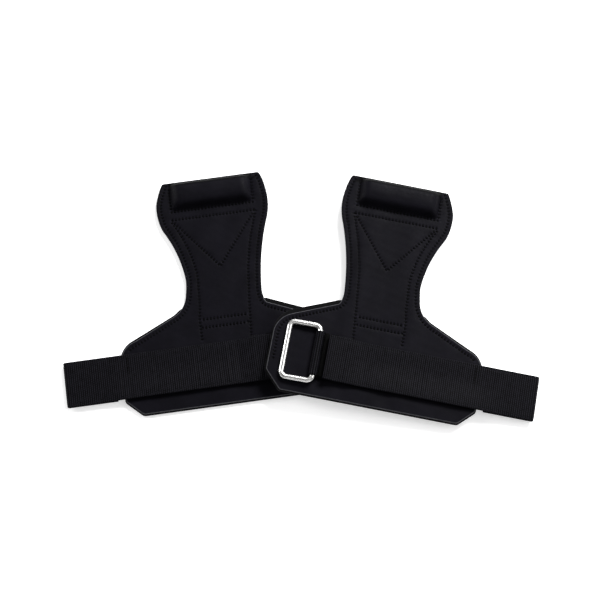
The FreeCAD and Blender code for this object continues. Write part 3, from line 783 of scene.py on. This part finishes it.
class Grip:
    """The visual pieces of one grip; side is 1 for the right grip and -1 for its mirror image."""

    def __init__(self, label, side, seed):
        joints = {joint["name"]: joint for joint in frame["joints"]}
        fold, swing = joints[label + "_flap_fold"], joints[label + "_ring_swing"]
        x_axis = Vector(fold["axis"]).normalized()
        y_axis = side * Vector(swing["axis"]).normalized()
        z_axis = x_axis.cross(y_axis)
        origin = Vector(fold["pos_m"]) - y_axis * CREASE_Y * MM - z_axis * TOP * MM
        self.label, self.side, self.seed = label, side, seed
        self.turn = Matrix((x_axis * side, y_axis, z_axis)).transposed().to_4x4()
        self.turn.translation = origin

    def place(self, x, y, z):
        return self.turn @ Vector((x * MM, y * MM, z * MM))

    def body(self, name):
        return f"{self.label}_{name}"

    def piece(self, name, made, look, slot, nodes=(), body=None, bend=None, sharp=40.0, wall=None):
        """A mesh object from points in the grip's frame. It rides on a body, or, where bend is given,
        on none;
        wall gives the faces that have a second look, the cut edge's, with its painted highlight."""
        points, faces = made
        world = np.array(self.turn)
        spots = points * MM @ world[:3, :3].T + world[:3, 3]
        if self.side < 0:
            faces = [tuple(reversed(face)) for face in faces]
        mesh = bpy.data.meshes.new(self.body(name))
        mesh.from_pydata(spots.tolist(), [], faces)
        mesh.materials.append(LOOKS[look])
        # the second look is the cut edge's, with its painted highlight
        if wall:
            first, second_look, highlight_verge = wall
            mesh.materials.append(LOOKS[second_look])
            tones = np.zeros(len(faces), np.int32)
            tones[first:] = 1
            tones[:first][highlight_verge] = 1
            mesh.polygons.foreach_set("material_index", tones)
        mesh.shade_smooth()
        mesh.set_sharp_from_angle(angle=math.radians(sharp))
        mesh.update()
        thing = bpy.data.objects.new(self.body(name), mesh)
        bpy.context.scene.collection.objects.link(thing)
        if nodes:
            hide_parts(*[self.body(node) for node in nodes])
        if bend:
            self.body(bend[0])
            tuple(bend[1])
            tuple(bend[2])
            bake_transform(thing)
        else:
            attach(thing, self.body(body))
        return thing

    def folding(self):
        """The stretch of the flap that turns as it folds over the palm."""
        return ("flap", self.place(0, CREASE_Y - BEND_LEAD, TOP),
                self.place(0, CREASE_Y + BEND_LENGTH, TOP))

    def unfolding(self):
        """The turn of the strap's end, from its upper run down to its lower one."""
        return ("tail", self.place(FOLD_X, STRAP_Y, UNFOLD_HIGH),
                self.place(FOLD_X, STRAP_Y, UNFOLD_LOW))

    # ---- leather, foam and lining

    def panel(self):
        """The leather of wrist part and flap as one sheet, with its sewing lines."""
        outline = rounded(trace(LEATHER_OUTLINE, 0.9), 2)
        self.edge_seams = edge_seam_lines(outline)
        self.side_seams = [open_seam(line, passes=12) for line in SIDE_SEAMS]
        self.roll_seams = [open_seam(line) for line in ROLL_SEAMS]
        self.wrist_seams = [open_seam(line) for line in WRIST_SEAMS]
        self.v_seam = open_seam(V_SEAM, 0.8)
        seams = (self.edge_seams + self.side_seams + self.roll_seams + self.wrist_seams
                 + [self.v_seam])
        self.skin = Skin(outline, seams, self.seed)
        points, faces, walls, highlight_verge = solid_sheet(
            outline, self.skin.top, self.skin.bottom, depths=(0.12, 0.3, 0.55, 1.1), lines=seams,
            step=2.1, wall=(0.45,))
        leather = self.piece("palm_leather", (points, faces), "leather", "leather",
                             ["wrist_panel", "palm_panel"], bend=self.folding(),
                             wall=(walls, "edge", highlight_verge))
        # painted shade under each stitch and a painted highlight between stitches, kept on the mesh
        # for the leather's look
        tone = self.skin.seam_dip_and_painted_light(points[:, :2])[1]
        # painted shade along the back edge of the roll, darker towards the flap's end
        tone -= ROLL_SHADE * smooth(SHADE_START, SHADE_END, points[:, 1]) * (points[:, 2] > TOP)
        seam = leather.data.attributes.new("seam", "FLOAT", "POINT")
        seam.data.foreach_set("value", tone.astype(np.float32))
        self.outline = outline

    @staticmethod
    def cut_area(outline):
        ends = np.roll(outline, -1, 0)
        return abs((outline[:, 0] * ends[:, 1] - ends[:, 0] * outline[:, 1]).sum()) / 2 * MM * MM

    def layers(self):
        """Foam and lining of the flap, whose outline is cut at the crease and starts there on the
        ring's side, then the roll's foam and rod, and the wrist cushion."""
        flap = self.outline[self.outline[:, 1] > CREASE_Y - 0.4]
        start = int(np.argmin(flap[:, 1] + (flap[:, 0] > 0) * 100))
        flap = np.roll(flap, -start, 0)
        bend = self.folding()
        foam = solid_sheet(flap, *pad_faces(LINING, PAD, 0.35, 0.0, self.seed),
                           depths=(0.15, 0.4, 0.9), step=3.0, wall=(0.33, 0.66))
        piece = self.piece("flap_foam_layer", foam[:2], "foam", "foam", ["flap_foam"], bend=bend)
        lower = inset(flap, 0.25)
        lining = solid_sheet(lower, *pad_faces(0.0, LINING, 0.25, 0.18, self.seed + 3),
                             depths=(0.12, 0.3, 0.8))
        piece = self.piece("flap_knit_lining", lining[:2], "lining", "lining", ["flap_lining"],
                           bend=bend)
        half = ROLL_HALF - LEATHER
        low, high = ROLL_LOW + 2.2, ROLL_HIGH - 2.6
        corners = [(ROLL_MIDDLE - half, high), (ROLL_MIDDLE + half, high),
                   (ROLL_MIDDLE + half, low), (ROLL_MIDDLE - half, low)]
        core = solid_sheet(rounded(trace(corners), 2),
                           lambda p, g: np.maximum(self.skin.base(p) - LEATHER - 0.15, PAD + 0.3),
                           lambda p, g: np.full(len(p), PAD + 0.05), depths=(0.3, 1.0))
        rod = np.column_stack([np.linspace(ROD_START, ROD_END, 20), np.full(20, ROLL_BACK - 0.6),
                               np.full(20, PAD + ROD_RISE)])
        swell = ROD_RADIUS * np.sqrt(1 - np.abs(np.linspace(-0.97, 0.97, 20)) ** 12)
        made = tube(rod, swell, sides=20, closed=False)
        self.piece("roll_core_rod", made, "dowel", "dowel", ["roll_dowel"], body="flap")
        piece = self.piece("roll_foam_core", core[:2], "foam", "foam", ["roll_foam"], body="flap")
        cushion = rounded(trace(CUSHION_OUTLINE, 0.9), 4)
        pad = solid_sheet(cushion, *pad_faces(0.0, PAD, 0.9, 0.25, self.seed + 5),
                          depths=(0.15, 0.4, 0.9, 1.6), step=3.2, wall=(0.3, 0.7))
        piece = self.piece("wrist_cushion", pad[:2], "neoprene", "neoprene", ["wrist_pad"],
                           body="wrist")

    # ---- webbing

    def webbing(self):
        """The wrist strap: along the leather, round the fold at its free end and back below."""
        level = TOP + STRAP_THICK / 2
        high = LEG_TOP + STRAP_THICK / 2
        start = (STRAP_START, high + LEG_SLOPE * (LEG_JOIN - STRAP_START))
        upper = [start, (LEG_JOIN, high), (LOOP_END, high), (STRAP_FLAT, level), (FOLD_X, level)]
        turn = [(FOLD_X + FOLD_LINE * math.sin(a), FOLD_Z + FOLD_LINE * math.cos(a))
                for a in np.linspace(0, math.pi, 26)[1:]]
        tail = resampled(np.array([turn[-1], (TAIL_START, FOLD_Z - FOLD_LINE)]), STRAP_STEP)
        upper = rounded(resampled(np.array(upper), STRAP_STEP), STRAP_ROUNDING, closed=False)
        path = np.vstack([upper, turn, tail[1:]])
        self.strap_path = path
        draw = random.Random(self.seed + 11)
        tones = np.array([draw.uniform(0.72, 1.2) for _ in range(400)])

        def relief(along, y, sign):
            ridge, yarn = woven(along, y)
            turn = np.round(along / RIB).astype(int)
            gain = tones[turn % len(tones)] * np.where(turn % 2 == 0, 1.12, 0.88)
            border = smooth(SELVAGE_INNER, SELVAGE_OUTER, np.abs(y))
            ribbed = 0.36 * ridge * gain - 0.20 + 0.08 * yarn
            edging = 0.10 * np.cos(2 * np.pi * np.abs(y) / SELVAGE_CORD) + 0.05 * ridge
            depth = 1.0 if sign > 0 else 0.4
            return (ribbed * (1 - border) + edging * border) * depth

        points, faces = strip(path, STRAP_WIDTH, STRAP_Y, STRAP_THICK / 2 - 0.12, relief,
                              STRAP_ACROSS)
        curl = smooth(STRAP_START + CURL_LENGTH, STRAP_START, points[:, 0])
        points[:, 2] += STRAP_CURL * curl * (points[:, 2] > TOP)
        slack = smooth(*SLACK_FROM, points[:, 0]) * (1 - smooth(*SLACK_TO, points[:, 0]))
        low = smooth(*SLACK_ACROSS, points[:, 1] - STRAP_Y) * (points[:, 2] > TOP - 0.3)
        points[:, 2] += STRAP_SLACK * slack * low
        strap = self.piece("wrist_strap", (points, faces), "webbing", "webbing",
                           ["strap", "strap_tail"], bend=self.unfolding(), sharp=65)
        self.mark_band(strap, path, STRAP_ACROSS)

    def holder(self):
        """The band round the ring's bar, whose two legs lie under the strap's ring end."""
        radius = WIRE + BAR_GAP + LOOP_THICK / 2
        around = [(BAR_X - radius * math.sin(a), BAR_Z - radius * math.cos(a))
                  for a in np.linspace(0, math.pi, 30)]
        foot = TOP + LOOP_THICK / 2
        lead = resampled(np.array([(LOOP_END, foot), (BAR_X, foot)]), LOOP_STEP)[:-1]
        crest = BAR_Z + radius
        pinch = [(BAR_X + 1.6, crest - 0.4), (BAR_X + 3.1, crest - 1.9),
                 (BAR_X + 4.5, crest - 3.6), (BAR_X + 6.6, crest - 4.1)]
        leg = [(LEG_JOIN, LEG_TOP - LOOP_THICK / 2), (LOOP_END, LEG_TOP - LOOP_THICK / 2)]
        down = resampled(np.array([around[-1]] + pinch + leg), LOOP_STEP)[1:]
        loop = np.vstack([lead, around, rounded(down, LOOP_ROUNDING, closed=False)])
        # painted shade on the loop where it dips from the bar down under the strap's end
        painted_shade = 0.5 * smooth(BAR_X + 2.4, BAR_X + 4.0, loop[:, 0]) * (loop[:, 1] > BAR_Z - 1.5)

        def rib(along, y, sign):
            ridge, yarn = woven(along, y)
            depth = 1.0 if sign < 0 else 0.2
            return (0.40 * ridge - 0.22 + 0.05 * yarn) * depth

        made = strip(loop, STRAP_WIDTH, LOOP_Y, LOOP_THICK / 2 - 0.06, rib, LOOP_ACROSS)
        band = self.piece("ring_webbing_loop", made, "webbing", "webbing", ["ring_loop"],
                          body="wrist", sharp=65)
        self.mark_band(band, loop, LOOP_ACROSS, painted_shade)

    def mark_band(self, thing, path, across, painted_shade=None):
        """Each point's length along the band and place across it, in mm, for the weave, and how much
        painted shade it gets."""
        along = np.concatenate([[0], np.cumsum(np.hypot(*np.diff(path, axis=0).T))])
        share = np.linspace(-1, 1, across)
        y = np.concatenate([share, share[::-1]]) * STRAP_WIDTH / 2
        spots = np.zeros((len(path), 2 * across, 3))
        spots[:, :, 0] = along[:, None]
        spots[:, :, 1] = y[None, :]
        if painted_shade is not None:
            spots[:, :, 2] = painted_shade[:, None]
        band = thing.data.attributes.new("band", "FLOAT_VECTOR", "POINT")
        band.data.foreach_set("vector", spots.reshape(-1).astype(np.float32))

    def hooks(self):
        """The hook patch: a thin backing with rows of fine hooks that stop at the floor."""
        low, high = STRAP_Y - HOOK_WIDTH / 2, STRAP_Y + HOOK_WIDTH / 2
        corners = [(HOOK_START, high), (HOOK_END, high), (HOOK_END, low), (HOOK_START, low)]
        outline = rounded(trace(corners, 0.8), 3)
        backing = solid_sheet(outline, lambda p, g: HOOK_THICK - 0.05 - 0.15 * (g < 0.1),
                              lambda p, g: 0.62 + 0.1 * (g < 0.1), depths=(0.3, 0.9), step=3.0)
        parts = [backing[:2]]
        draw = random.Random(self.seed + 23)
        for x in np.arange(HOOK_START + HOOK_MARGIN, HOOK_END - HOOK_STOP, HOOK_PITCH):
            for y in np.arange(low + HOOK_MARGIN, high - HOOK_STOP, HOOK_PITCH):
                lean = draw.uniform(-0.12, 0.12)
                stem = [(x, y, HOOK_ROOT), (x + lean, y, 0.38), (x + lean + 0.12, y + 0.02, 0.14),
                        (x + lean + 0.34, y + 0.03, 0.06), (x + lean + 0.44, y + 0.04, 0.2)]
                parts.append(tube_upright(stem, HOOK_TAPER))
        self.piece("hook_tape", joined(parts), "hook_tape", "hook_tape", ["hook_patch"], body="tail")

    # ---- ring

    def ring(self):
        """The wire ring: its bar lies along y in the loop, and swells a little at its weld."""
        corners = [(0, RING_HALF), (-RING_REACH, RING_HALF), (-RING_REACH, -RING_HALF),
                   (0, -RING_HALF)]
        line = []
        for index, spot in enumerate(corners):
            before, after = corners[index - 1], corners[(index + 1) % 4]
            spot, before, after = (np.array(p, float) for p in (spot, before, after))
            into = (before - spot) / np.linalg.norm(before - spot)
            out = (after - spot) / np.linalg.norm(after - spot)
            middle = spot + (into + out) * RING_CORNER
            for share in np.linspace(0, 1, 13):
                angle = share * math.pi / 2
                line.append(middle - RING_CORNER * (out * math.cos(angle) + into * math.sin(angle)))
            straight = after - spot - 2 * out * RING_CORNER
            line += [spot + out * RING_CORNER + straight * k for k in np.linspace(0, 1, 14)[1:-1]]
        line = np.array(line)
        path = np.column_stack([BAR_X + line[:, 0] * math.cos(RING_DROOP), LOOP_Y + line[:, 1],
                                BAR_Z + line[:, 0] * math.sin(RING_DROOP)])
        gap = np.hypot(line[:, 0], line[:, 1])
        swell = WIRE + RING_SPARE + WELD_SWELL * np.exp(-(gap / WELD_HALF) ** 2)
        self.piece("steel_ring", tube(path, swell, 28), "ring_steel", "ring_steel", ["ring"],
                   body="ring")

    # ---- stitching

    def sewn(self):
        """The threads: lines on the leather, then the two lines across the strap."""
        bend = self.folding()

        def sew(name, lines, nodes, **where):
            made = joined([stitches(line, self.skin.base) for line in lines])
            self.piece(name, made, "thread", "thread", nodes, **where)

        sew("edge_stitches", self.edge_seams, ["wrist_edge_seam", "flap_edge_seam"], bend=bend)
        sew("side_stitches", self.side_seams, ["flap_side_seams"], bend=bend)
        sew("roll_stitches", self.roll_seams, ["roll_seams"], body="flap")
        sew("v_stitches", [self.v_seam], ["v_seam"], body="flap")
        sew("wrist_stitches", self.wrist_seams, ["wrist_seams"], body="wrist")
        upper = self.strap_path[:int(np.argmax(self.strap_path[:, 0]))]

        def on_strap(points):
            return np.interp(points[:, 0], upper[:, 0], upper[:, 1]) + STRAP_THICK / 2 + 0.1

        half = STRAP_WIDTH / 2 - STRAP_SEAM_MARGIN
        for name, x, node in (("strap_end_stitches", STRAP_END_SEAM_X, "strap_end_seam"),
                              ("strap_ring_stitches", STRAP_RING_SEAM_X, "strap_ring_seam")):
            line = resampled(np.array([(x, STRAP_Y - half), (x, STRAP_Y + half)]), 0.5)
            made = stitches(line, on_strap, STRAP_PITCH, STRAP_LENGTH, STRAP_THREAD)
            self.piece(name, made, "thread", "thread", [node], body="wrist")

    def build(self):
        """Every piece of the grip, and leather for the CAD patch that stays inside it."""
        self.panel()
        self.layers()
        self.webbing()
        self.holder()
        self.hooks()
        self.ring()
        self.sewn()
        mesh = frame["nodes"][self.body("v_patch")].data
        mesh.materials.clear()
        mesh.materials.append(LOOKS["leather"])


Grip("left", -1, 31).build()
Grip("right", 1, 57).build()


# ---- floor, light and camera -------------------------------------------------------------------

def floor():
    """White paper, bright enough to keep shadows pale."""
    mesh = bpy.data.meshes.new("studio_floor")
    half = 6.0
    mesh.from_pydata([(-half, -half, 0), (half, -half, 0), (half, half, 0), (-half, half, 0)], [],
                     [(0, 1, 2, 3)])
    look = Look("studio_paper", (0.90, 0.90, 0.90), 0.9, Specular_IOR_Level=0.1,
                Emission_Strength=0.48)
    look.shader.inputs["Emission Color"].default_value = (1.0, 1.0, 1.0, 1.0)
    look.tinted(look.noise(400.0, 2.0), 0.995, 1.005)
    mesh.materials.append(look.material)
    thing = bpy.data.objects.new("studio_floor", mesh)
    bpy.context.scene.collection.objects.link(thing)
    thing.location.z = -0.0002


def lamp(name, place, size, power):
    """A soft rectangular lamp that faces the middle of the floor."""
    data = bpy.data.lights.new(name, "AREA")
    data.shape = "RECTANGLE"
    data.size, data.size_y = size
    data.energy = power
    thing = bpy.data.objects.new(name, data)
    thing.location = place
    thing.rotation_euler = (-Vector(place)).to_track_quat("-Z", "Y").to_euler()
    bpy.context.scene.collection.objects.link(thing)


def studio():
    floor()
    lamp("key_light", (0.75, 1.15, 1.15), (0.9, 0.5), 60.0)
    lamp("left_light", (-1.45, 0.5, 0.6), (0.5, 0.9), 15.0)
    lamp("right_light", (1.45, 0.0, 0.95), (0.7, 1.2), 8.0)
    lamp("front_light", (0.2, -1.4, 1.1), (1.4, 0.6), 3.0)
    world = bpy.data.worlds.new("studio")
    world.use_nodes = True
    back = world.node_tree.nodes["Background"]
    back.inputs["Color"].default_value = (1.0, 1.0, 1.0, 1.0)
    back.inputs["Strength"].default_value = 0.22
    bpy.context.scene.world = world
    bpy.context.scene.view_settings.view_transform = "Standard"


def camera():
    """Nearly straight down, from a little in front."""
    target, height, distance = Vector((-0.0012, -0.0025, 0.0)), math.radians(74.4), 1.260
    data = bpy.data.cameras.new("camera")
    data.sensor_width = 36.0
    data.lens = 90.0
    thing = bpy.data.objects.new("camera", data)
    thing.location = target + distance * Vector((0, -math.cos(height), math.sin(height)))
    thing.rotation_euler = (target - thing.location).to_track_quat("-Z", "Y").to_euler()
    bpy.context.scene.collection.objects.link(thing)
    bpy.context.scene.camera = thing


studio()
camera()
bpy.context.view_layer.update()
